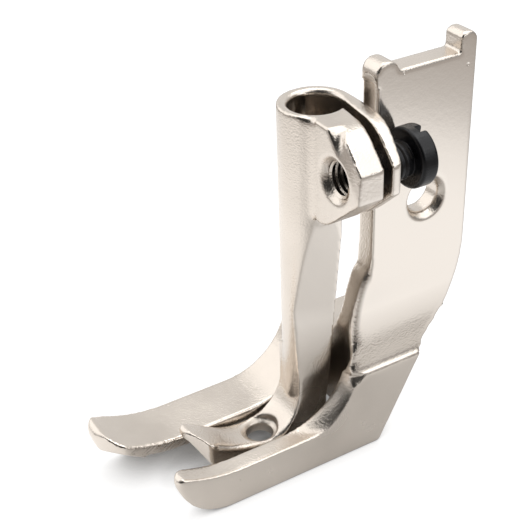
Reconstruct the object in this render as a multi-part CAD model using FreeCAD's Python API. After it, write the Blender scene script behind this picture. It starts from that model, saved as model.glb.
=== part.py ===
"""Compound feed piping presser foot set, in millimetres.

The set is three pieces. The outer foot is a tall flat shank over a block with two toes, with a
piping groove under its wide toe. The inner foot is a split clamp tube, a half round column and a
short sole with the needle hole, which stands in the gap between the toes. The clamp screw closes
the two ears of the tube.

The toes point along -Y, +Z is up, and the narrow toe is on the +X side. Sizes are measured from
the needle, and the finished pieces are moved so that the origin is under the middle of the set, on
the plane that the soles stand on.
"""
import FreeCAD, Part
import math
import os

from FreeCAD import Vector

# Toes and the gap between them, measured from the needle
gap_near = 3.4
gap_far = 2.9
narrow_toe_width = 2.45
wide_toe_width = 6.85
toe_height = 5.05
gap_rear = 10.9
gap_corner = 0.6

# The upturned tips: where the sole starts to lift, the radius of the lift and how far the tip goes
narrow_lift_start = -7.0
narrow_lift_radius = 7.0
narrow_rise_start = -5.2
narrow_tip = -14.0
wide_lift_start = -11.4
wide_lift_radius = 7.6
wide_rise_start = -8.2
wide_tip = -19.0
wide_tip_corner = 2.2
wide_tip_slant = 2.6
wide_tip_curve = [(1.1, 1.35), (3.0, 0.35)]
rise_radius = 18.5
tip_edge = 0.95
tip_corner = 1.1
tip_slant = 1.9
tip_turn = 80.0
tip_ramp = [(0.0, 6.5, 2.96), (0.0, 2.6, 5.65), (5.9, 3.0, 1.6)]

# Block, sweep and heel
ledge_height = 11.35
corner_facet = [(0.0, 10.2, 9.8), (0.0, 11.94, 11.35), (0.85, 10.9, 11.9)]
cove_height = 6.0
far_cove_height = 7.6
heel_y = 13.95
heel_top_y = 19.8
heel_drop = 0.25

# The sweeps from the toes' tops up the front of the block, as distance back and height over the toe
near_sweep = [(4.6, 0.0), (7.95, 1.75), (9.9, 4.65), (10.7, 8.5)]
gap_side_sweep = [(0.6, 0.0), (5.6, 1.2), (8.7, 3.85), (10.2, 8.0)]
far_sweep = [(0.2, 0.0), (3.7, 0.45), (7.0, 2.5), (9.0, 5.4), (10.2, 9.0)]

# Shank plate
plate_near_face = 3.82
plate_thickness = 2.96
plate_front = 13.7
plate_rear = 27.1
plate_straight_from = 31.5
plate_front_curve = [(2.1, 19.6), (0.9, 23.4)]
plate_rear_curve = [(0.9, 19.4), (3.6, 15.0)]
plate_rear_straight_from = 26.0
plate_top = 48.45
front_ear_top = 49.7
front_ear_length = 3.0
rear_ear_top = 50.7
rear_ear_length = 2.2
rear_ear_front_drop = 0.55
rear_ear_rear_drop = 1.4
plate_hole_y = 21.1
plate_hole_z = 31.7
plate_hole_radius = 2.15
plate_sink_radius = 2.8
plate_sink_depth = 0.8
scoop_radius = 1.75
scoop_depth = 0.9
scoop_top = 48.4
scoop_length = 9.0

# Piping groove under the wide toe and the inner sole
groove_roof = 3.45
groove_corner = 2.9
groove_flat = 2.1
groove_end = [(0.0, 7.1), (1.05, 4.1), (3.05, 2.7), (5.25, 6.5)]
groove_turn = 35.0
groove_ahead = 5.0
inner_roof = 2.35
inner_groove_corner = 1.6
inner_groove_ahead = 8.0
groove_near_wall = 0.75

# Clamp tube and ears of the inner foot
bore_radius = 3.0
bore_depth = 14.5
bore_y = 8.47
tube_radius = 4.2
tube_top = 45.64
tube_edge = 0.35
shell_low_drop = 18.64
shell_high_drop = 12.0
ear_front = 5.82
front_ear_thickness = 3.76
slit_width = 1.0
slit_skew = 6.9
slit_start = 0.4
rear_ear_thickness = 1.6
rear_ear_taper = 0.75
rear_ear_corner = 0.8
screw_x = 7.5
screw_drop = 5.44
ear_reach = 4.4
ear_face_above = 2.22
ear_face_below = 1.05
ear_top_slope = 38.1
ear_top_straight = 2.3
ear_top_start = 5.6
ear_bottom_slope = 41.2
ear_bottom_straight = 4.5
ear_bottom_start = 4.2
ear_bottom_drop = 6.45
ear_bevel = [(6.3, 0.0, 1.1, 0.0), (8.6, 1.95, 0.33, 1.3), (12.4, 4.9, 0.08, 1.2)]
thread_radius = 2.0
thread_sink_radius = 2.7
ear_clearance_radius = 2.3

# Column and sole of the inner foot
side_clearance = 0.3
column_rear = 9.3
column_shoulder = 11.6
column_shoulder_height = 2.6
sole_thickness = 4.0
sole_flat = 0.3
sole_lift_start = -2.8
sole_lift_radius = 5.0
sole_lift_turn = 62.0
sole_rise_radius = 8.2
sole_rise_turn = 32.5
sole_tip_far = -9.75
sole_tip_near = -8.1
sole_nose = 1.0
sole_nose_height = 1.3
sole_near_front = 1.95
sole_waist = 1.9
sole_edge_round = 0.7
sole_corner = 0.7
column_front = 4.6
front_cove_radius = 5.4
facet_rear_y = 14.0
facet_front_y = -1.0
facet_stations = [(33.6, 4.5, 0.28), (20.5, 2.85, 0.33), (11.0, 1.85, -0.05),
                  (5.8, 0.95, -0.26), (-2.0, 0.95, -0.26)]
needle_radius = 1.6
needle_relief_radius = 1.85
needle_sink_radius = 2.25
needle_sink_depth = 0.35

# Clamp screw
screw_radius = 1.95
screw_end = 8.4
screw_chamfer = 0.35
head_gap = 2.55
head_radius = 3.45
head_height = 2.15
head_edge = 0.45
slot_width = 1.0
slot_depth = 1.0
slot_angle = 80.0

# Places that follow from the sizes above
near_outer = gap_near + narrow_toe_width
far_outer = -gap_far - wide_toe_width
plate_far_face = plate_near_face - plate_thickness
screw_z = tube_top - screw_drop
rear_shell_low = tube_top - shell_low_drop
rear_shell_high = tube_top - shell_high_drop
groove_outer_wall = far_outer + groove_flat
slit_front = ear_front + front_ear_thickness
slit_rear = slit_front + slit_width / math.cos(math.radians(slit_skew))
ears_rear = slit_rear + rear_ear_thickness
head_under = ears_rear + head_gap
sole_far = -gap_far + side_clearance
sole_near = gap_near - side_clearance
sole_rise_start = column_front - front_cove_radius - sole_flat
roof_rise_radius = rise_radius + toe_height - groove_roof
middle_x = (far_outer + screw_x + ear_reach) / 2
middle_y = (wide_tip + plate_rear) / 2
big = 200.0
lean = 1 - math.sqrt(0.5)


def yz(y, z, x=0.0):
    return Vector(x, y, z)


def xy(x, y, z=0.0):
    return Vector(x, y, z)


def xz(x, z, y=0.0):
    return Vector(x, y, z)


def face_of(edges):
    return Part.Face(Part.Wire(edges))


def line(a, b):
    return Part.LineSegment(a, b).toShape()


def arc(a, middle, b):
    return Part.Arc(a, middle, b).toShape()


def spline(points, start_tangent, end_tangent):
    curve = Part.BSplineCurve()
    curve.interpolate(Points=points, InitialTangent=start_tangent, FinalTangent=end_tangent)
    return curve.toShape()


def extrude_x(face, x_from, x_to):
    moved = face.copy()
    moved.translate(Vector(x_from, 0, 0))
    return moved.extrude(Vector(x_to - x_from, 0, 0))


def extrude_y(face, y_from, y_to):
    moved = face.copy()
    moved.translate(Vector(0, y_from, 0))
    return moved.extrude(Vector(0, y_to - y_from, 0))


def extrude_z(face, z_from, z_to):
    moved = face.copy()
    moved.translate(Vector(0, 0, z_from))
    return moved.extrude(Vector(0, 0, z_to - z_from))


def polygon(points):
    return Part.Face(Part.makePolygon(points + [points[0]]))


def rise(y, start, radius, height):
    """Height of a line that is level behind start and turns up ahead of it with the radius."""
    ahead = max(0.0, start - y)
    return height + radius - math.sqrt(radius * radius - ahead * ahead)


def lift_point(start, radius, angle):
    """A point on the lifting underside of a toe, by its turn in degrees from the sole."""
    turn = math.radians(angle)
    return yz(start - radius * math.sin(turn), radius * (1 - math.cos(turn)))


def side_outline(lift_start, lift_radius, rise_start, tip, sweep):
    """The outline of the outer foot from the side, with one toe's tip and sweep."""
    under_tip = lift_point(lift_start, lift_radius, tip_turn)
    under_middle = lift_point(lift_start, lift_radius, tip_turn / 2)
    top_front_y = tip + tip_edge
    top_front = yz(top_front_y, rise(top_front_y, rise_start, rise_radius, toe_height))
    tip_middle = yz(tip + 0.2 * tip_edge, (under_tip.z + 2 * top_front.z) / 3)
    rise_middle_y = (top_front_y + rise_start) / 2
    rise_middle = yz(rise_middle_y, rise(rise_middle_y, rise_start, rise_radius, toe_height))
    rise_end = yz(rise_start, toe_height)
    front_curve = [yz(y, toe_height + height) for y, height in sweep]
    front_curve += [yz(plate_front - back, z) for back, z in plate_front_curve]
    front_curve.append(yz(plate_front, plate_straight_from))
    ear_start = yz(plate_front, front_ear_top - front_ear_length / 2)
    ear_middle = yz(plate_front + front_ear_length / 2, front_ear_top)
    ear_end = yz(plate_front + front_ear_length, plate_top)
    rear_ear_y = plate_rear - rear_ear_length
    rear_ear_start = yz(rear_ear_y, rear_ear_top - rear_ear_front_drop)
    rear_ear_middle = yz((rear_ear_y + plate_rear) / 2, rear_ear_top)
    rear_ear_end = yz(plate_rear, rear_ear_top - rear_ear_rear_drop)
    heel_top = yz(heel_top_y, ledge_height - heel_drop)
    rear_curve = [yz(plate_rear, plate_rear_straight_from)]
    rear_curve += [yz(plate_rear - ahead, z) for ahead, z in plate_rear_curve]
    rear_curve.append(heel_top)
    heel = yz(heel_y, 0)
    edges = [
        line(heel, yz(lift_start, 0)),
        arc(yz(lift_start, 0), under_middle, under_tip),
        arc(under_tip, tip_middle, top_front),
        arc(top_front, rise_middle, rise_end),
        line(rise_end, front_curve[0]),
        spline(front_curve, yz(1, 0), yz(0, 1)),
        line(front_curve[-1], ear_start),
        arc(ear_start, ear_middle, ear_end),
        line(ear_end, yz(rear_ear_y, plate_top)),
        line(yz(rear_ear_y, plate_top), rear_ear_start),
        arc(rear_ear_start, rear_ear_middle, rear_ear_end),
        line(rear_ear_end, rear_curve[0]),
        spline(rear_curve, yz(0, -1), heel.sub(heel_top)),
        line(heel_top, heel),
    ]
    return Part.Wire(edges)


def front_section():
    """The outline of the outer foot from the front: two ledges, two coves and the plate."""
    near_cove_top = ledge_height + cove_height
    far_cove_top = ledge_height + far_cove_height
    near_width = near_outer - plate_near_face
    far_width = plate_far_face - far_outer
    top = rear_ear_top + 1
    near_mid = xz(plate_near_face + near_width * lean, ledge_height + cove_height * lean)
    far_mid = xz(plate_far_face - far_width * lean, ledge_height + far_cove_height * lean)
    near_cove = spline([xz(plate_near_face, near_cove_top), near_mid, xz(near_outer, ledge_height)],
                       Vector(0, 0, -1), Vector(1, 0, 0))
    far_cove = spline([xz(far_outer, ledge_height), far_mid, xz(plate_far_face, far_cove_top)],
                      Vector(1, 0, 0), Vector(0, 0, 1))
    edges = [
        line(xz(far_outer, -1), xz(far_outer, ledge_height)),
        far_cove,
        line(xz(plate_far_face, far_cove_top), xz(plate_far_face, top)),
        line(xz(plate_far_face, top), xz(plate_near_face, top)),
        line(xz(plate_near_face, top), xz(plate_near_face, near_cove_top)),
        near_cove,
        line(xz(near_outer, ledge_height), xz(near_outer, -1)),
        line(xz(near_outer, -1), xz(far_outer, -1)),
    ]
    return face_of(edges)


def toe_plan():
    """The outline of the outer foot from above: both tips and the gap."""
    rear = plate_rear + 5
    slant_start = wide_tip + wide_tip_slant
    corner = tip_corner * lean
    wide_corner = wide_tip_corner * lean
    gap_round = gap_corner * lean
    narrow_mid = (gap_near + near_outer) / 2
    wide_front = [xy(-gap_far, slant_start)]
    wide_front += [xy(-gap_far - x, wide_tip + y) for x, y in wide_tip_curve]
    wide_front.append(xy(far_outer + wide_tip_corner, wide_tip))
    edges = [
        line(xy(near_outer, rear), xy(near_outer, narrow_tip + tip_corner)),
        arc(xy(near_outer, narrow_tip + tip_corner), xy(near_outer - corner, narrow_tip + corner),
            xy(near_outer - tip_corner, narrow_tip)),
        line(xy(near_outer - tip_corner, narrow_tip), xy(narrow_mid, narrow_tip)),
        arc(xy(narrow_mid, narrow_tip), xy(gap_near + corner, narrow_tip + tip_slant / 3),
            xy(gap_near, narrow_tip + tip_slant)),
        line(xy(gap_near, narrow_tip + tip_slant), xy(gap_near, gap_rear - gap_corner)),
        arc(xy(gap_near, gap_rear - gap_corner), xy(gap_near - gap_round, gap_rear - gap_round),
            xy(gap_near - gap_corner, gap_rear)),
        line(xy(gap_near - gap_corner, gap_rear), xy(-gap_far + gap_corner, gap_rear)),
        arc(xy(-gap_far + gap_corner, gap_rear), xy(-gap_far + gap_round, gap_rear - gap_round),
            xy(-gap_far, gap_rear - gap_corner)),
        line(xy(-gap_far, gap_rear - gap_corner), xy(-gap_far, slant_start)),
        spline(wide_front, xy(-0.35, -1), xy(-1, 0)),
        arc(xy(far_outer + wide_tip_corner, wide_tip), xy(far_outer + wide_corner, wide_tip + wide_corner),
            xy(far_outer, wide_tip + wide_tip_corner)),
        line(xy(far_outer, wide_tip + wide_tip_corner), xy(far_outer, rear)),
        line(xy(far_outer, rear), xy(near_outer, rear)),
    ]
    return face_of(edges)


def groove_section(x_wall, x_open, roof, corner):
    """The groove from the front: a level roof and a round corner down to the wall at x_wall."""
    way = math.copysign(1, x_open - x_wall)
    edges = [
        line(xz(x_wall, -2), xz(x_wall, roof - corner)),
        arc(xz(x_wall, roof - corner), xz(x_wall + way * lean * corner, roof - lean * corner),
            xz(x_wall + way * corner, roof)),
        line(xz(x_wall + way * corner, roof), xz(x_open, roof)),
        line(xz(x_open, roof), xz(x_open, -2)),
        line(xz(x_open, -2), xz(x_wall, -2)),
    ]
    return face_of(edges)


def upturned(section, y_rear, y_bend, roof, radius, turn, ahead):
    """The section drawn straight to y_bend, turned up with the radius, then straight ahead again."""
    centre = Vector(0, y_bend, roof + radius)
    straight = extrude_y(section, y_rear, y_bend)
    moved = section.copy()
    moved.translate(Vector(0, y_bend, 0))
    bent = moved.revolve(centre, Vector(1, 0, 0), -turn)
    moved.rotate(centre, Vector(1, 0, 0), -turn)
    lean_way = math.radians(turn)
    sloped = moved.extrude(Vector(0, -math.cos(lean_way), math.sin(lean_way)) * ahead)
    return straight.fuse([bent, sloped])


def outer_groove():
    """The space under the wide toe and the block, with its round outer wall and front end."""
    section = groove_section(groove_outer_wall, groove_near_wall, groove_roof, groove_corner)
    cutter = upturned(section, plate_rear, wide_rise_start, groove_roof, roof_rise_radius,
                      groove_turn, groove_ahead)
    rear = plate_rear + 1
    end = [xy(groove_outer_wall + x, wide_tip + y) for x, y in groove_end]
    plan = face_of([
        line(xy(groove_outer_wall, rear), end[0]),
        spline(end, xy(0, -1), xy(0.45, 1)),
        line(end[-1], xy(groove_near_wall, end[-1].y)),
        line(xy(groove_near_wall, end[-1].y), xy(groove_near_wall, rear)),
        line(xy(groove_near_wall, rear), xy(groove_outer_wall, rear)),
    ])
    return cutter.common(extrude_z(plan, -big, big))


def plane_block(a, b, c, size):
    """A block that stands on the plane through three points, on the side that b x c points to."""
    block = Part.makeBox(size, size, size, Vector(-size / 2, -size / 2, 0))
    normal = b.sub(a).cross(c.sub(a))
    block.Placement = FreeCAD.Placement(c, FreeCAD.Rotation(Vector(0, 0, 1), normal))
    return block


def corner_chip():
    """The space off the block's front upper corner."""
    points = [Vector(near_outer - inset, y, z) for inset, y, z in corner_facet]
    return plane_block(*points, 3.0)


def tip_ramp_space():
    """The space under the wide toe's tip, whose underside climbs towards the gap."""
    points = [Vector(-gap_far - x, wide_tip + y, z) for x, y, z in tip_ramp]
    under_tip = Part.makeBox(wide_toe_width + 2, big, big, Vector(far_outer - 1, -big, -big / 2))
    return plane_block(*points, big).common(under_tip)


def plate_hole():
    through = Part.makeCylinder(plate_hole_radius, plate_thickness + 2,
                                Vector(plate_far_face - 1, plate_hole_y, plate_hole_z), Vector(1, 0, 0))
    sink = Part.makeCone(plate_hole_radius, plate_sink_radius, plate_sink_depth,
                         Vector(plate_near_face - plate_sink_depth, plate_hole_y, plate_hole_z),
                         Vector(1, 0, 0))
    return through.fuse(sink)


def plate_scoop():
    """The hollow in the front edge of the plate, with a round upper end."""
    x_mid = plate_far_face + 0.48 * plate_thickness
    y_axis = plate_front - scoop_radius + scoop_depth
    low = scoop_top - scoop_length
    rod = Part.makeCylinder(scoop_radius, scoop_length - scoop_radius,
                            Vector(x_mid, y_axis, low), Vector(0, 0, 1))
    end = Part.makeSphere(scoop_radius, Vector(x_mid, y_axis, scoop_top - scoop_radius))
    foot = Part.makeSphere(scoop_radius, Vector(x_mid, y_axis, low))
    return rod.fuse([end, foot])


def outer_foot():
    middle = (gap_near - gap_far) / 2
    narrow_toe = (narrow_lift_start, narrow_lift_radius, narrow_rise_start, narrow_tip)
    wide_toe = (wide_lift_start, wide_lift_radius, wide_rise_start, wide_tip)
    outer_wire = side_outline(*narrow_toe, near_sweep).translated(Vector(near_outer, 0, 0))
    inner_wire = side_outline(*narrow_toe, gap_side_sweep).translated(Vector(gap_near, 0, 0))
    near_side = Part.makeLoft([inner_wire, outer_wire], True, True)
    inner_part = extrude_x(Part.Face(side_outline(*narrow_toe, gap_side_sweep)), middle, gap_near)
    far_side = extrude_x(Part.Face(side_outline(*wide_toe, far_sweep)), far_outer, middle)
    body = near_side.fuse([inner_part, far_side]).removeSplitter()
    body = body.common(extrude_y(front_section(), wide_tip - 5, plate_rear + 5))
    body = body.common(extrude_z(toe_plan(), -5, rear_ear_top + 5))
    body = body.cut(outer_groove())
    body = body.cut(tip_ramp_space())
    body = body.cut(corner_chip())
    body = body.cut(plate_hole())
    body = body.cut(plate_scoop())
    return body.removeSplitter()


def sole_side():
    """The sole of the inner foot from the side, with its upturned lip and blunt nose."""
    rise_turn = math.radians(sole_rise_turn)
    rise_end = yz(sole_rise_start - sole_rise_radius * math.sin(rise_turn),
                  sole_thickness + sole_rise_radius * (1 - math.cos(rise_turn)))
    rise_middle = yz(sole_rise_start - sole_rise_radius * math.sin(rise_turn / 2),
                     sole_thickness + sole_rise_radius * (1 - math.cos(rise_turn / 2)))
    nose_y = sole_tip_far + sole_nose
    nose_top = yz(nose_y, rise_end.z + math.tan(rise_turn) * (rise_end.y - nose_y))
    nose_low = yz(nose_y - sole_nose / 2, nose_top.z - sole_nose_height)
    nose_middle = yz(sole_tip_far, nose_top.z - sole_nose_height / 3)
    under = lift_point(sole_lift_start, sole_lift_radius, sole_lift_turn)
    under_middle = lift_point(sole_lift_start, sole_lift_radius, sole_lift_turn / 2)
    cove_end = yz(column_front - front_cove_radius, sole_thickness)
    cove_middle = yz(column_front - front_cove_radius * lean, sole_thickness + front_cove_radius * lean)
    cove_top = yz(column_front, sole_thickness + front_cove_radius)
    top = column_shoulder + column_shoulder_height
    edges = [
        line(yz(column_rear, 0), yz(sole_lift_start, 0)),
        arc(yz(sole_lift_start, 0), under_middle, under),
        line(under, nose_low),
        arc(nose_low, nose_middle, nose_top),
        line(nose_top, rise_end),
        arc(rise_end, rise_middle, yz(sole_rise_start, sole_thickness)),
        line(yz(sole_rise_start, sole_thickness), cove_end),
        arc(cove_end, cove_middle, cove_top),
        line(cove_top, yz(column_front, top)),
        line(yz(column_front, top), yz(column_rear, top)),
        line(yz(column_rear, top), yz(column_rear, 0)),
    ]
    return face_of(edges)


def sole_plan():
    """The sole from above: the far side goes further forward, and the near side has a waist."""
    corner = sole_corner * lean
    front_start = xy(sole_far + sole_corner, sole_tip_far)
    front_end = xy(sole_near_front - sole_corner, sole_tip_near)
    side_start = xy(sole_near_front, sole_tip_near + 1.5 * sole_corner)
    corner_middle = xy(sole_near_front - corner, sole_tip_near + corner)
    edges = [
        line(xy(sole_far, column_rear + 1), xy(sole_far, sole_tip_far + sole_corner)),
        arc(xy(sole_far, sole_tip_far + sole_corner), xy(sole_far + corner, sole_tip_far + corner),
            front_start),
        spline([front_start, front_end], xy(1, 0.1), xy(1, 0.6)),
        arc(front_end, corner_middle, side_start),
        spline([side_start, xy(sole_waist, sole_lift_start), xy(sole_near, column_front)],
               xy(0, 1), xy(0, 1)),
        line(xy(sole_near, column_front), xy(sole_near, column_rear + 1)),
        line(xy(sole_near, column_rear + 1), xy(sole_far, column_rear + 1)),
    ]
    return face_of(edges)


def inner_groove():
    """The half of the piping groove under the inner foot."""
    section = groove_section(groove_near_wall, sole_far - 3, inner_roof, inner_groove_corner)
    radius = sole_rise_radius + sole_thickness - inner_roof
    return upturned(section, column_rear + 1, sole_rise_start, inner_roof, radius,
                    sole_rise_turn, inner_groove_ahead)


def column_side_cutter():
    """The space beside the column's +X facet, which twists as it goes down."""
    far_x = sole_near + big
    wires = []
    for z, x_rear, slope in facet_stations:
        x_at = x_rear + slope * (facet_rear_y - column_rear)
        x_front = x_rear - slope * (column_rear - facet_front_y)
        wires.append(Part.makePolygon([
            xy(x_at, facet_rear_y, z), xy(x_front, facet_front_y, z), xy(far_x, facet_front_y, z),
            xy(far_x, facet_rear_y, z), xy(x_at, facet_rear_y, z)]))
    return Part.makeLoft(wires, True, True)


def column():
    """The half round column, its narrow foot in the gap and the sloped shoulder between."""
    rod = Part.makeCylinder(tube_radius, tube_top - bore_depth + 2 - sole_thickness,
                            Vector(0, bore_y, sole_thickness))
    front_half = Part.makeBox(big, column_rear + big, big, Vector(-big / 2, -big, -big / 2))
    rod = rod.common(front_half)
    beside = column_shoulder + column_shoulder_height
    shoulder = polygon([xz(sole_far, -2), xz(sole_far, column_shoulder),
                        xz(-tube_radius - 0.2, beside), xz(-big, beside), xz(-big, -2)])
    return rod.cut(extrude_y(shoulder, -10, 20))


def rear_shell():
    """The rear half of the clamp tube, whose lower edge rises to the ears."""
    height = tube_top - rear_shell_low
    rod = Part.makeCylinder(tube_radius, height, Vector(0, bore_y, rear_shell_low))
    side = tube_radius + 1
    below = polygon([xz(-side, rear_shell_low), xz(side, rear_shell_high),
                     xz(side, rear_shell_low - 1), xz(-side, rear_shell_low - 1)])
    return rod.cut(extrude_y(below, bore_y - 10, bore_y + 10))


def ears_profile():
    """The ears from the front: a top that falls away to an upright end, and a rising underside."""
    top_lean = math.tan(math.radians(ear_top_slope))
    low_lean = math.tan(math.radians(ear_bottom_slope))
    end_x = screw_x + ear_reach
    end_top = xz(end_x, screw_z + ear_face_above)
    end_low = xz(end_x, screw_z - ear_face_below)
    top_bend = xz(end_x - ear_top_straight, end_top.z + ear_top_straight * top_lean)
    low_bend = xz(end_x - ear_bottom_straight, end_low.z - ear_bottom_straight * low_lean)
    top_start = xz(ear_top_start, tube_top)
    bottom = screw_z - ear_bottom_drop
    low_start = xz(ear_bottom_start, bottom)
    return face_of([
        line(xz(0, bottom), xz(0, tube_top)),
        line(xz(0, tube_top), top_start),
        spline([top_start, top_bend], xz(1, 0), xz(1, -top_lean)),
        line(top_bend, end_top),
        line(end_top, end_low),
        line(end_low, low_bend),
        spline([low_bend, low_start], xz(-1, -low_lean), xz(-1, 0)),
        line(low_start, xz(0, bottom)),
    ])


def ears_plan():
    """The ears from above: a flat front and a rear that runs into the tube's round wall."""
    end_x = screw_x + ear_reach
    end_rear = ears_rear - rear_ear_taper
    corner = rear_ear_corner * lean
    return face_of([
        line(xy(0, bore_y + tube_radius), xy(0, ear_front)),
        line(xy(0, ear_front), xy(end_x, ear_front)),
        line(xy(end_x, ear_front), xy(end_x, end_rear - rear_ear_corner)),
        arc(xy(end_x, end_rear - rear_ear_corner), xy(end_x - corner, end_rear - corner),
            xy(end_x - rear_ear_corner, end_rear)),
        arc(xy(end_x - rear_ear_corner, end_rear), xy(screw_x, ears_rear), xy(0, bore_y + tube_radius)),
    ])


def ear_bevel_cutter():
    """The space off the ears' upper front edge, a bevel that turns as it goes out."""
    wires = []
    for x, drop, width, height in ear_bevel:
        low = Vector(x, ear_front, tube_top - drop - height)
        way = Vector(0, width, height)
        outside = Vector(x, ear_front - 2, tube_top - drop + 3)
        wires.append(Part.makePolygon([low.sub(way), low.add(way * 2), outside, low.sub(way)]))
    return Part.makeLoft(wires, True, True)


def ears():
    block = extrude_y(ears_profile(), ear_front, ears_rear + tube_radius)
    block = block.common(extrude_z(ears_plan(), rear_shell_low, tube_top + 1))
    return block.cut(ear_bevel_cutter())


def clamp_openings():
    bore_low = tube_top - bore_depth
    bore = Part.makeCylinder(bore_radius, bore_depth + 1, Vector(0, bore_y, bore_low))
    point = Part.makeCone(0, bore_radius, 0.6 * bore_radius,
                          Vector(0, bore_y, bore_low - 0.6 * bore_radius))
    slit = Part.makeBox(big, slit_width, big, Vector(slit_start - screw_x, 0, rear_shell_low - 2))
    slit.rotate(Vector(0, 0, 0), Vector(0, 0, 1), -slit_skew)
    slit.translate(Vector(screw_x, slit_front, 0))
    thread = Part.makeCylinder(thread_radius, front_ear_thickness + 1,
                               Vector(screw_x, ear_front - 0.5, screw_z), Vector(0, 1, 0))
    sink = Part.makeCone(thread_sink_radius, thread_radius, thread_sink_radius - thread_radius,
                         Vector(screw_x, ear_front, screw_z), Vector(0, 1, 0))
    clear = Part.makeCylinder(ear_clearance_radius, rear_ear_thickness + slit_width,
                              Vector(screw_x, slit_front + slit_width / 2, screw_z), Vector(0, 1, 0))
    edge = Part.makeCone(bore_radius, bore_radius + tube_edge, tube_edge,
                         Vector(0, bore_y, tube_top - tube_edge))
    return bore.fuse([point, slit, thread, sink, clear, edge])


def near_shoulder(edge):
    """Whether an edge is on the upper rim of the sole's near side, from its lip to the cove."""
    ends = [edge.valueAt(at) for at in edge.ParameterRange]
    along = min(point.y for point in ends) > sole_tip_near + sole_corner
    ahead = max(point.y for point in ends) < column_front - front_cove_radius + 0.01
    near = min(point.x for point in ends) > 0.5 * sole_waist
    upper = min(point.z for point in ends) > 0.9 * sole_thickness
    return along and ahead and near and upper


def inner_foot():
    sole = extrude_x(sole_side(), sole_far, sole_near)
    sole = sole.common(extrude_z(sole_plan(), -2, tube_top))
    shoulder = [edge for edge in sole.Edges if near_shoulder(edge)]
    sole = sole.makeFillet(sole_edge_round, shoulder)
    lower = sole.fuse(column())
    lower = lower.cut(column_side_cutter())
    body = lower.fuse([rear_shell(), ears()])
    behind = Part.makeBox(big, big, big, Vector(-big / 2, column_rear, rear_shell_low - big))
    body = body.cut(behind)
    body = body.cut(clamp_openings())
    body = body.cut(inner_groove())
    needle = Part.makeCylinder(needle_radius, sole_thickness + 2, Vector(0, 0, -1))
    relief = Part.makeCylinder(needle_relief_radius, inner_roof + 1, Vector(0, 0, -1))
    sink = Part.makeCone(needle_radius, needle_sink_radius, needle_sink_depth,
                         Vector(0, 0, sole_thickness - needle_sink_depth))
    above = Part.makeCylinder(needle_sink_radius, needle_sink_radius, Vector(0, 0, sole_thickness))
    body = body.cut(needle.fuse([relief, sink, above]))
    return body.removeSplitter()


def clamp_screw():
    along = Vector(0, 1, 0)
    shank = Part.makeCylinder(screw_radius, head_under - screw_end - screw_chamfer,
                              Vector(screw_x, screw_end + screw_chamfer, screw_z), along)
    tip = Part.makeCone(screw_radius - screw_chamfer, screw_radius, screw_chamfer,
                        Vector(screw_x, screw_end, screw_z), along)
    head = Part.makeCylinder(head_radius, head_height, Vector(screw_x, head_under, screw_z), along)
    head = head.makeFillet(head_edge, [edge for edge in head.Edges if edge.Closed])
    slot = Part.makeBox(3 * head_radius, slot_depth + 1, slot_width,
                        Vector(-1.5 * head_radius, head_height - slot_depth, -slot_width / 2))
    slot.rotate(Vector(0, 0, 0), along, -slot_angle)
    slot.translate(Vector(screw_x, head_under, screw_z))
    return shank.fuse([tip, head]).cut(slot).removeSplitter()


os.makedirs("parts", exist_ok=True)
pieces = {"outer_foot": outer_foot(), "inner_foot": inner_foot(), "clamp_screw": clamp_screw()}
for name, shape in pieces.items():
    shape.translate(Vector(-middle_x, -middle_y, 0))
    shape.exportStep(os.path.join("parts", name + ".step"))
    box = shape.optimalBoundingBox(False, False)
    print(name, "solids", len(shape.Solids), "valid", shape.isValid(), "volume", round(shape.Volume, 1),
          "x", round(box.XMin, 2), round(box.XMax, 2), "y", round(box.YMin, 2), round(box.YMax, 2),
          "z", round(box.ZMin, 2), round(box.ZMax, 2))
print("needle at", round(-middle_x, 3), round(-middle_y, 3))
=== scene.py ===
import math

import bmesh
import bpy
from mathutils import Matrix, Vector


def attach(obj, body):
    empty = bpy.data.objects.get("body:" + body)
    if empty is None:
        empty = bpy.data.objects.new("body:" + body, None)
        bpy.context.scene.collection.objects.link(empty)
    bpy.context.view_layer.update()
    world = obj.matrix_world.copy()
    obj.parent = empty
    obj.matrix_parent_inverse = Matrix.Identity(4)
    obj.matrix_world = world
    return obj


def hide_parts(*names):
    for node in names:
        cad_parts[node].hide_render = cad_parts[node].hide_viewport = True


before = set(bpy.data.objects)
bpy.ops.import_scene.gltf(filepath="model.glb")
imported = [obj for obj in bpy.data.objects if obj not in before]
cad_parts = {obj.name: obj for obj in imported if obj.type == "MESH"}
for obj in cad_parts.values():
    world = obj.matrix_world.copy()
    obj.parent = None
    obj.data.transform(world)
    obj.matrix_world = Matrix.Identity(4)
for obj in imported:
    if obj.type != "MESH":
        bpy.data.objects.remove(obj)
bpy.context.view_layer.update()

MM = 0.001
# The needle bar's line, from which the places on the part are given
needle_x, needle_y = -1.075, -4.05

# Where the plate's near face, the narrow toe's side and the near ledge lie, in millimetres from the needle
plate_face = 3.82
toe_side = 5.85
ledge = 11.35
# The clamp screw's line and its thread
screw_x, screw_z = 7.5, 40.2
thread_pitch = 0.7


def linear(code):
    """A written colour, such as #d8d0c6, as the linear numbers that a shader takes."""
    parts = [int(code[i:i + 2], 16) / 255 for i in (1, 3, 5)]
    bent = [p / 12.92 if p <= 0.04045 else ((p + 0.055) / 1.055) ** 2.4 for p in parts]
    return (*bent, 1.0)


def per(size_mm):
    """The scale that makes a pattern's features this many millimetres across."""
    return 1 / (size_mm * MM)


def at(x, y, z):
    """A place given from the needle in millimetres, in the part's frame in metres."""
    return Vector((x + needle_x, y + needle_y, z)) * MM


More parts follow.
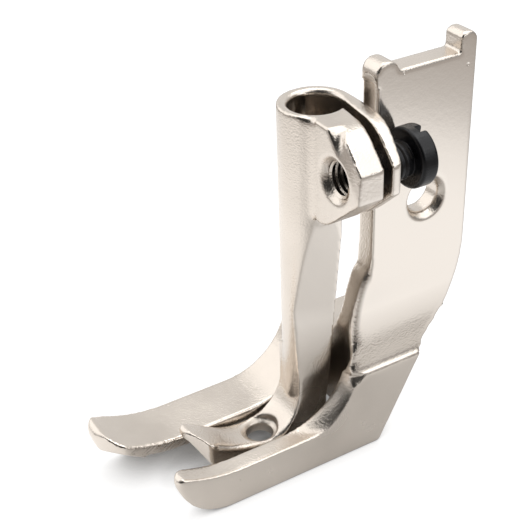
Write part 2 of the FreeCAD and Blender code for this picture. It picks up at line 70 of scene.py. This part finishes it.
def add(tree, kind, inputs=None, **settings):
    """Adds a node, gives it its settings, and fills or links its inputs."""
    made = tree.nodes.new("ShaderNode" + kind)
    for name, value in settings.items():
        setattr(made, name, value)
    for name, value in (inputs or {}).items():
        if isinstance(value, bpy.types.NodeSocket):
            tree.links.new(value, made.inputs[name])
        else:
            made.inputs[name].default_value = value
    return made


def new_material(name):
    material = bpy.data.materials.new(name)
    material.use_nodes = True
    material.node_tree.nodes.clear()
    return material, material.node_tree


def finish_with(tree, shader):
    add(tree, "OutputMaterial", {"Surface": shader.outputs[0]})


def spots(tree, place, patches, edge):
    """One where the surface is inside any of the round patches, with a soft edge, and none elsewhere."""
    total = None
    for centre, radius in patches:
        away = add(tree, "VectorMath", {0: place, 1: at(*centre)}, operation="DISTANCE")
        inside = add(tree, "MapRange", {"Value": away.outputs["Value"], "From Min": (radius + edge) * MM,
                                        "From Max": (radius - edge) * MM}, interpolation_type="SMOOTHSTEP")
        if total is None:
            total = inside.outputs["Result"]
        else:
            total = add(tree, "Math", {0: total, 1: inside.outputs["Result"]},
                        operation="MAXIMUM").outputs[0]
    return total


# Where the cast skin was never ground: the sweeps of both feet, and the clamp ears' ends and undersides.
# Each patch has its centre and its radius.
rough_patches = [
    ((4.0, 6.2, 6.8), 2.8),
    ((0.0, 0.4, 3.6), 2.6),
    ((-5.6, 8.6, 13.5), 4.0),
    ((12.0, 7.6, 39.6), 2.2),
    ((7.2, 8.4, 33.4), 3.0),
]

# Where the cloth has polished the toes' tips, as centres and radii
polished_tips = [
    ((4.7, -14.2, 3.4), 1.7),
    ((-3.2, -18.4, 4.0), 1.6),
    ((-6.2, -18.9, 4.6), 1.6),
    ((-9.0, -18.4, 5.2), 1.6),
]

# Small nicks from handling, as centres and radii
nicks = [
    ((plate_face, 25.9, 46.9), 0.16),
    ((plate_face, 17.2, 48.0), 0.14),
    ((toe_side, -6.0, 3.4), 0.13),
]

# The wide toe's wall in the gap, ground and darkened with painted shade, and the threaded hole's end,
# darkened with painted shade
ground_shaded_wall = [((-2.9, -12.0, 3.0), 5.5)]
shaded_hole = [((screw_x, 8.1, screw_z), 2.0)]


# Nickel plated steel: cast, ground on its flats, tumbled and plated, so it is a warm grey satin mirror with
# a faint orange peel, brighter on the polished plate, where its colour is lightened as a painted
# reflection, and grainy where the cast skin is left. The wall in the gap and the threaded hole are darkened
# as painted shade. The real grit and grinding lines are some hundredths of a millimetre wide, and are drawn
# coarser so that they show.
def nickel_plated_steel():
    material, tree = new_material("nickel_plated_steel")
    where = add(tree, "TexCoord")
    place = where.outputs["Object"]
    tone = add(tree, "TexNoise", {"Vector": place, "Scale": per(9), "Detail": 3.0, "Roughness": 0.55})
    colour = add(tree, "ValToRGB", {"Fac": tone.outputs["Fac"]})
    colour.color_ramp.elements[0].position = 0.3
    colour.color_ramp.elements[0].color = linear("#cbc2b8")
    colour.color_ramp.elements[1].position = 0.7
    colour.color_ramp.elements[1].color = linear("#d8cfc5")

    # The near face of the plate is polished: it faces +X, above the ledge. It is smoother there, and its
    # colour is lightened as a painted reflection.
    facing = add(tree, "SeparateXYZ", {0: where.outputs["Normal"]})
    height = add(tree, "SeparateXYZ", {0: place})
    flat = add(tree, "MapRange", {"Value": facing.outputs["X"], "From Min": 0.8, "From Max": 0.97})
    high = add(tree, "MapRange", {"Value": height.outputs["Z"], "From Min": 13 * MM, "From Max": 19 * MM})
    polish_and_sheen = add(tree, "Math", {0: flat.outputs[0], 1: high.outputs[0]}, operation="MULTIPLY")
    bright = add(tree, "Mix", {"Factor": polish_and_sheen.outputs[0], "A": colour.outputs["Color"],
                               "B": linear("#f6eee5")}, data_type="RGBA")
    # The wide toe's wall in the gap is left as it was ground, and its colour is darkened there as painted
    # shade from the gap
    ground_and_shade = spots(tree, place, ground_shaded_wall, 1.5)
    ground_and_shade = add(tree, "Math", {0: ground_and_shade, 1: flat.outputs[0]}, operation="MULTIPLY")
    gap_shade = add(tree, "Math", {0: ground_and_shade.outputs[0], 1: 0.6}, operation="MULTIPLY")
    bright = add(tree, "Mix", {"Factor": gap_shade.outputs[0], "A": bright.outputs[2],
                               "B": linear("#8c8379")}, data_type="RGBA")
    # Painted shade: the inside of the threaded hole is darkened
    hole_shade = spots(tree, place, shaded_hole, 0.35)
    bright = add(tree, "Mix", {"Factor": hole_shade, "A": bright.outputs[2], "B": linear("#3a332c")},
                 data_type="RGBA")

    # Undersides keep the cast skin too, apart from the soles, which stand on the table
    rough = spots(tree, place, rough_patches, 1.4)
    under = add(tree, "MapRange", {"Value": facing.outputs["Z"], "From Min": -0.15, "From Max": -0.5})
    off_sole = add(tree, "MapRange", {"Value": height.outputs["Z"], "From Min": 0.3 * MM,
                                      "From Max": 0.8 * MM})
    under = add(tree, "Math", {0: under.outputs[0], 1: off_sole.outputs[0]}, operation="MULTIPLY")
    rough = add(tree, "Math", {0: rough, 1: under.outputs[0]}, operation="MAXIMUM")

    peel = add(tree, "TexNoise", {"Vector": place, "Scale": per(0.8), "Detail": 2.0})
    fine = add(tree, "TexNoise", {"Vector": place, "Scale": per(0.22), "Detail": 2.0})
    skin = add(tree, "TexNoise", {"Vector": place, "Scale": per(0.35), "Detail": 3.0, "Roughness": 0.6})

    satin = add(tree, "MapRange", {"Value": tone.outputs["Fac"], "From Min": 0.3, "From Max": 0.7,
                                   "To Min": 0.2, "To Max": 0.28})
    dull = add(tree, "Mix", {"Factor": polish_and_sheen.outputs[0], "A": satin.outputs["Result"], "B": 0.13})
    dull = add(tree, "Mix", {"Factor": rough.outputs[0], "A": dull.outputs[0], "B": 0.36})
    tips = spots(tree, place, polished_tips, 0.7)
    dull = add(tree, "Mix", {"Factor": tips, "A": dull.outputs[0], "B": 0.1})

    # Grinding lines slant across the wide toe's wall: a noise drawn out along one turned direction
    turned = add(tree, "Mapping", {"Vector": place, "Rotation": (math.radians(-60), 0, 0),
                                   "Scale": (1.0, 1.0, 16.0)}, vector_type="TEXTURE")
    scratch = add(tree, "TexNoise", {"Vector": turned.outputs[0], "Scale": per(0.4), "Detail": 2.0})
    marks = add(tree, "Math", {0: scratch.outputs["Fac"], 1: ground_and_shade.outputs[0]}, operation="MULTIPLY")

    waves = add(tree, "Bump", {"Height": peel.outputs["Fac"], "Distance": 0.006 * MM})
    kept = add(tree, "MapRange", {"Value": polish_and_sheen.outputs[0], "To Min": 1.0, "To Max": 0.1})
    grit = add(tree, "Math", {0: fine.outputs["Fac"], 1: kept.outputs[0]}, operation="MULTIPLY")
    grain = add(tree, "Bump", {"Height": grit.outputs[0], "Distance": 0.035 * MM,
                               "Normal": waves.outputs["Normal"]})
    cast = add(tree, "Math", {0: skin.outputs["Fac"], 1: rough.outputs[0]}, operation="MULTIPLY")
    cast_skin = add(tree, "Bump", {"Height": cast.outputs[0], "Distance": 0.06 * MM,
                                   "Normal": grain.outputs["Normal"]})
    lines = add(tree, "Bump", {"Height": marks.outputs[0], "Distance": 0.3 * MM,
                               "Normal": cast_skin.outputs["Normal"]})
    dents = add(tree, "Bump", {"Height": spots(tree, place, nicks, 0.1), "Distance": 0.05 * MM,
                               "Normal": lines.outputs["Normal"]}, invert=True)
    shader = add(tree, "BsdfPrincipled", {"Base Color": bright.outputs[2], "Metallic": 1.0,
                                          "Roughness": dull.outputs[0],
                                          "Normal": dents.outputs["Normal"]})
    finish_with(tree, shader)
    return material


# Black oxide steel: turned, blackened and oiled, so it is bluish black with a soft gloss.
def black_oxide_steel():
    material, tree = new_material("black_oxide_steel")
    place = add(tree, "TexCoord").outputs["Object"]
    tone = add(tree, "TexNoise", {"Vector": place, "Scale": per(1.6), "Detail": 3.0})
    colour = add(tree, "ValToRGB", {"Fac": tone.outputs["Fac"]})
    colour.color_ramp.elements[0].position = 0.3
    colour.color_ramp.elements[0].color = linear("#0d0d0f")
    colour.color_ramp.elements[1].position = 0.75
    colour.color_ramp.elements[1].color = linear("#1b1b1e")
    grit = add(tree, "TexNoise", {"Vector": place, "Scale": per(0.25), "Detail": 2.0})
    dull = add(tree, "MapRange", {"Value": tone.outputs["Fac"], "From Min": 0.3, "From Max": 0.7,
                                  "To Min": 0.22, "To Max": 0.36})
    grain = add(tree, "Bump", {"Height": grit.outputs["Fac"], "Distance": 0.006 * MM})
    shader = add(tree, "BsdfPrincipled", {"Base Color": colour.outputs["Color"], "Metallic": 0.4,
                                          "Roughness": dull.outputs["Result"],
                                          "Normal": grain.outputs["Normal"]})
    finish_with(tree, shader)
    return material


nickel = nickel_plated_steel()
blackened = black_oxide_steel()


def place_piece(name, mesh, material, body, node=None):
    """Makes a mesh a piece that rides on a body, with the given material, and may stand for a solid."""
    data = bpy.data.meshes.new(name)
    mesh.to_mesh(data)
    mesh.free()
    data.materials.append(material)
    data.shade_smooth()
    piece = bpy.data.objects.new(name, data)
    bpy.context.scene.collection.objects.link(piece)
    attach(piece, body)
    if node:
        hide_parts(node)
    return piece


def even_skin(node, share):
    """A copy of a solid, merged and covered with an even skin of small faces, with its edges kept. It
    spans this share of the grid that the faces come from."""
    mesh = bmesh.new()
    mesh.from_mesh(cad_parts[node].data)
    bmesh.ops.remove_doubles(mesh, verts=mesh.verts, dist=0.0005 * MM)
    data = bpy.data.meshes.new(node + "_copy")
    mesh.to_mesh(data)
    mesh.free()
    source = bpy.data.objects.new(node + "_copy", data)
    bpy.context.scene.collection.objects.link(source)
    skin = source.modifiers.new("even_skin", "REMESH")
    skin.mode = "SHARP"
    skin.octree_depth = 8
    skin.scale = share
    skin.use_remove_disconnected = False
    graph = bpy.context.evaluated_depsgraph_get()
    skinned = bpy.data.meshes.new_from_object(source.evaluated_get(graph))
    bpy.data.objects.remove(source)
    mesh = bmesh.new()
    mesh.from_mesh(skinned)
    return mesh


def wear(mesh, rounds, low=None, high=None):
    """Softens the edges, all over or only between two corners of a box given from the needle."""
    verts = mesh.verts
    if low:
        low, high = at(*low), at(*high)
        verts = [v for v in verts if all(low[i] < v.co[i] < high[i] for i in range(3))]
    for _ in range(rounds):
        bmesh.ops.smooth_vert(mesh, verts=verts, factor=0.5, use_axis_x=True, use_axis_y=True,
                              use_axis_z=True)


def ellipse(height, top, bottom, width):
    """How far a hollow of this width has come out at a height, from its top down to its bottom."""
    down = min(1.0, max(0.0, (top - height) / (top - bottom)))
    return width * (1 - math.sqrt(1 - down * down))


def widen_cove(mesh):
    """The hollow from the plate down to the near ledge starts higher and runs out more gently."""
    cut_top, real_top = 17.35, 21.0
    # The ledge cuts the wider hollow's ellipse at this share of its height
    cut_share = 0.9
    width = toe_side - plate_face
    reach = width / (1 - math.sqrt(1 - cut_share * cut_share))
    real_bottom = real_top - (real_top - ledge) / cut_share
    # The change grows from none to all of it, inwards to the plate's face and back from its front edge
    inner_x, run_x = plate_face - 1.2, 0.9
    front_y, run_y = 8.5, 1.5
    for vert in mesh.verts:
        x, y, height = vert.co.x / MM - needle_x, vert.co.y / MM - needle_y, vert.co.z / MM
        if x > inner_x and y > front_y and ledge < height < real_top:
            share = min(1.0, (x - inner_x) / run_x) * min(1.0, (y - front_y) / run_y)
            out = ellipse(height, real_top, real_bottom, reach) - ellipse(height, cut_top, ledge, width)
            vert.co.x += share * out * MM


# The outer foot: worn all over, then more in the hollow, along the plate's front edge and at both tips
outer = even_skin("outer_foot", 0.95)
wear(outer, 4)
widen_cove(outer)
wear(outer, 2)
wear(outer, 12, (3.0, 9.0, 12.3), (5.2, 24.0, 26.0))
wear(outer, 45, (2.4, 9.0, 12.6), (4.5, 13.6, 27.0))
wear(outer, 8, (-10.5, -20.0, -1.0), (-2.0, -16.5, 9.0))
wear(outer, 8, (3.0, -15.0, -1.0), (6.5, -12.5, 9.0))
place_piece("outer_foot_plated", outer, nickel, "outer_foot", "outer_foot")

# The inner foot: worn all over, then more where the tube runs into the front ear
inner = even_skin("inner_foot", 0.95)
wear(inner, 6)
wear(inner, 30, (2.3, 4.9, 32.5), (4.0, 6.3, 46.0))
place_piece("inner_foot_plated", inner, nickel, "inner_foot", "inner_foot")

# The screw is small, so a skin that spans half of the grid is fine enough for it
screw = even_skin("clamp_screw", 0.5)
wear(screw, 4)
place_piece("clamp_screw_blackened", screw, blackened, "clamp_screw", "clamp_screw")


def helix(name, start_y, end_y, foot, crest, body, material):
    """A thread's ridge, from its foot radius to its crest radius, along the screw's line."""
    # Half of the ridge's width at its foot and at its crest
    half_foot, half_crest = 0.44 * thread_pitch, 0.08 * thread_pitch
    mesh = bmesh.new()
    corners = [(foot, -half_foot), (crest, -half_crest), (crest, half_crest), (foot, half_foot)]
    section = mesh.faces.new([mesh.verts.new((r, start_y + y, 0)) for r, y in corners])
    turns = (end_y - start_y) / thread_pitch
    steps_in_turn = 36
    steps = round(turns * steps_in_turn)
    bmesh.ops.spin(mesh, geom=[section, *section.edges, *section.verts], cent=(0, 0, 0),
                   axis=(0, 1, 0), dvec=(0, (end_y - start_y) / steps, 0),
                   angle=turns * 2 * math.pi, steps=steps, use_merge=False, use_duplicate=False)
    bmesh.ops.remove_doubles(mesh, verts=mesh.verts, dist=1e-5)
    bmesh.ops.holes_fill(mesh, edges=[e for e in mesh.edges if e.is_boundary], sides=4)
    bmesh.ops.translate(mesh, verts=mesh.verts, vec=(screw_x + needle_x, needle_y, screw_z))
    bmesh.ops.scale(mesh, verts=mesh.verts, vec=(MM, MM, MM))
    bmesh.ops.recalc_face_normals(mesh, faces=mesh.faces)
    place_piece(name, mesh, material, body).data.shade_flat()


# The threads: a ridge wound round the screw, and one inside the front ear's hole.
helix("screw_thread", 8.9, 14.45, 1.85, 2.16, "clamp_screw", blackened)
helix("ear_thread", 6.5, 8.3, 2.1, 1.8, "inner_foot", nickel)


# The camera that fits the photograph, in millimetres of the part's frame.
camera_data = bpy.data.cameras.new("camera")
camera_data.sensor_width = 36
camera_data.lens = 78.05
camera_data.clip_start = 0.01
camera_data.clip_end = 10
camera = bpy.data.objects.new("camera", camera_data)
right = Vector((0.51130335, 0.85877918, -0.03266794))
up = Vector((-0.44887583, 0.2992826, 0.84198599))
back = Vector((0.73285699, -0.41584641, 0.53850942))
camera.matrix_world = Matrix.Translation(Vector((91.368, -55.434, 96.091)) * MM) @ Matrix(
    (right, up, back)).transposed().to_4x4()
bpy.context.scene.collection.objects.link(camera)
bpy.context.scene.camera = camera


# The table top: white, with the object's shadow kept. It glows white to the camera, less where something
# stands over it, which is a painted shadow, and the metal sees it fade away from the object into a painted
# dim room.
def white_table():
    material, tree = new_material("white_table")
    place = add(tree, "TexCoord").outputs["Object"]
    rays = add(tree, "LightPath")
    mirrored = rays.outputs["Is Glossy Ray"]
    seen = add(tree, "Math", {0: rays.outputs["Is Camera Ray"], 1: 0.78}, operation="MULTIPLY")
    # In the metal the table is dimmer on the plate's side than on the wide toe's
    side = add(tree, "VectorMath", {0: place, 1: (-0.8, -0.6, 0)}, operation="DOT_PRODUCT")
    side = add(tree, "MapRange", {"Value": side.outputs["Value"], "From Min": -10 * MM,
                                  "From Max": 30 * MM, "To Min": 0.36, "To Max": 1.0},
               interpolation_type="SMOOTHSTEP")
    # A pale patch painted into the table's glow beside the plate, seen only by the metal, for its polished
    # face to mirror
    to_glow_patch = add(tree, "VectorMath", {0: place, 1: Vector((53, 43, 0)) * MM}, operation="DISTANCE")
    glow_patch = add(tree, "MapRange", {"Value": to_glow_patch.outputs["Value"], "From Min": 46 * MM,
                                  "From Max": 25 * MM, "To Max": 0.24}, interpolation_type="SMOOTHSTEP")
    side = add(tree, "Math", {0: side.outputs[0], 1: glow_patch.outputs[0]})
    seen = add(tree, "Math", {0: mirrored, 1: side.outputs[0], 2: seen.outputs[0]},
               operation="MULTIPLY_ADD")
    # Painted shadow: ambient occlusion cuts the table's glow where something stands over it
    open_sky = add(tree, "AmbientOcclusion", {"Distance": 7 * MM}, samples=8)
    open_sky = add(tree, "MapRange", {"Value": open_sky.outputs["AO"], "From Min": 0.0, "From Max": 0.7},
                   interpolation_type="SMOOTHSTEP")
    glow = add(tree, "Math", {0: seen.outputs[0], 1: open_sky.outputs[0]}, operation="MULTIPLY")
    paper = add(tree, "BsdfDiffuse", {"Color": linear("#bcbcbc")})
    light = add(tree, "Emission", {"Color": (1, 1, 1, 1), "Strength": glow.outputs[0]})
    both = add(tree, "AddShader", {0: paper.outputs[0], 1: light.outputs[0]})
    away = add(tree, "VectorMath", {0: place}, operation="LENGTH")
    fade = add(tree, "MapRange", {"Value": away.outputs["Value"], "From Min": 62 * MM,
                                  "From Max": 160 * MM, "To Max": 0.7}, interpolation_type="SMOOTHSTEP")
    fade = add(tree, "Math", {0: fade.outputs[0], 1: mirrored}, operation="MULTIPLY")
    dim = add(tree, "Emission", {"Color": linear("#8a8078"), "Strength": 1.0})
    finish_with(tree, add(tree, "MixShader", {0: fade.outputs[0], 1: both.outputs[0], 2: dim.outputs[0]}))
    return material


floor_mesh = bmesh.new()
bmesh.ops.create_grid(floor_mesh, x_segments=1, y_segments=1, size=1.5)
floor_data = bpy.data.meshes.new("floor")
floor_mesh.to_mesh(floor_data)
floor_mesh.free()
floor_data.materials.append(white_table())
floor = bpy.data.objects.new("floor", floor_data)
bpy.context.scene.collection.objects.link(floor)


# Soft boxes of the room: the way to each, how near to it its edge and its core begin, and its level
soft_boxes = [
    ((0.35, 0.42, 0.82), 0.72, 0.93, 1.85),
    ((-0.72, -0.47, 0.51), 0.76, 0.94, 1.65),
]


# The studio: white to the camera, plain to the table, and to the metal a grey room with two soft boxes and
# one pale wall, darkest on the side that the camera stands on.
def studio():
    world = bpy.data.worlds.new("studio")
    bpy.context.scene.world = world
    world.use_nodes = True
    tree = world.node_tree
    tree.nodes.clear()
    rays = add(tree, "LightPath")
    way = add(tree, "TexCoord").outputs["Generated"]
    to_camera = add(tree, "VectorMath", {0: way, 1: Vector((0.74, -0.56, 0.37)).normalized()},
                    operation="DOT_PRODUCT")
    behind = add(tree, "MapRange", {"Value": to_camera.outputs["Value"], "From Min": 0.4,
                                    "From Max": 0.8}, interpolation_type="SMOOTHSTEP")
    to_wall = add(tree, "VectorMath", {0: way, 1: Vector((-0.74, 0.42, 0.53)).normalized()},
                  operation="DOT_PRODUCT")
    lit = add(tree, "MapRange", {"Value": to_wall.outputs["Value"], "From Min": 0.3, "From Max": 0.9,
                                 "To Min": 0.35, "To Max": 0.95}, interpolation_type="SMOOTHSTEP")
    walls = add(tree, "Mix", {"Factor": behind.outputs[0], "A": lit.outputs[0], "B": 0.04})
    for aim, edge, core, light in soft_boxes:
        to_box = add(tree, "VectorMath", {0: way, 1: Vector(aim).normalized()}, operation="DOT_PRODUCT")
        box = add(tree, "MapRange", {"Value": to_box.outputs["Value"], "From Min": edge,
                                     "From Max": core}, interpolation_type="SMOOTHSTEP")
        walls = add(tree, "Mix", {"Factor": box.outputs[0], "A": walls.outputs[0], "B": light})
    plain = add(tree, "Mix", {"Factor": rays.outputs["Is Camera Ray"], "A": 0.45, "B": 1.0})
    level = add(tree, "Mix", {"Factor": rays.outputs["Is Glossy Ray"], "A": plain.outputs[0],
                              "B": walls.outputs[0]})
    air = add(tree, "Background", {"Color": (1, 1, 1, 1), "Strength": level.outputs[0]})
    add(tree, "OutputWorld", {"Surface": air.outputs[0]})


studio()


def lamp(name, place, size, watts):
    """A soft square lamp at a place in millimetres, turned to the object's lower half."""
    aim = Vector((0, 0, 20))
    data = bpy.data.lights.new(name, "AREA")
    data.size = size * MM
    data.energy = watts
    made = bpy.data.objects.new(name, data)
    made.location = Vector(place) * MM
    made.rotation_mode = "QUATERNION"
    made.rotation_quaternion = (aim - Vector(place)).to_track_quat("-Z", "Y")
    bpy.context.scene.collection.objects.link(made)


lamp("top", (-60, 60, 420), 360, 0.62)
lamp("side", (360, 120, 200), 260, 0.22)

bpy.context.scene.view_settings.view_transform = "Standard"
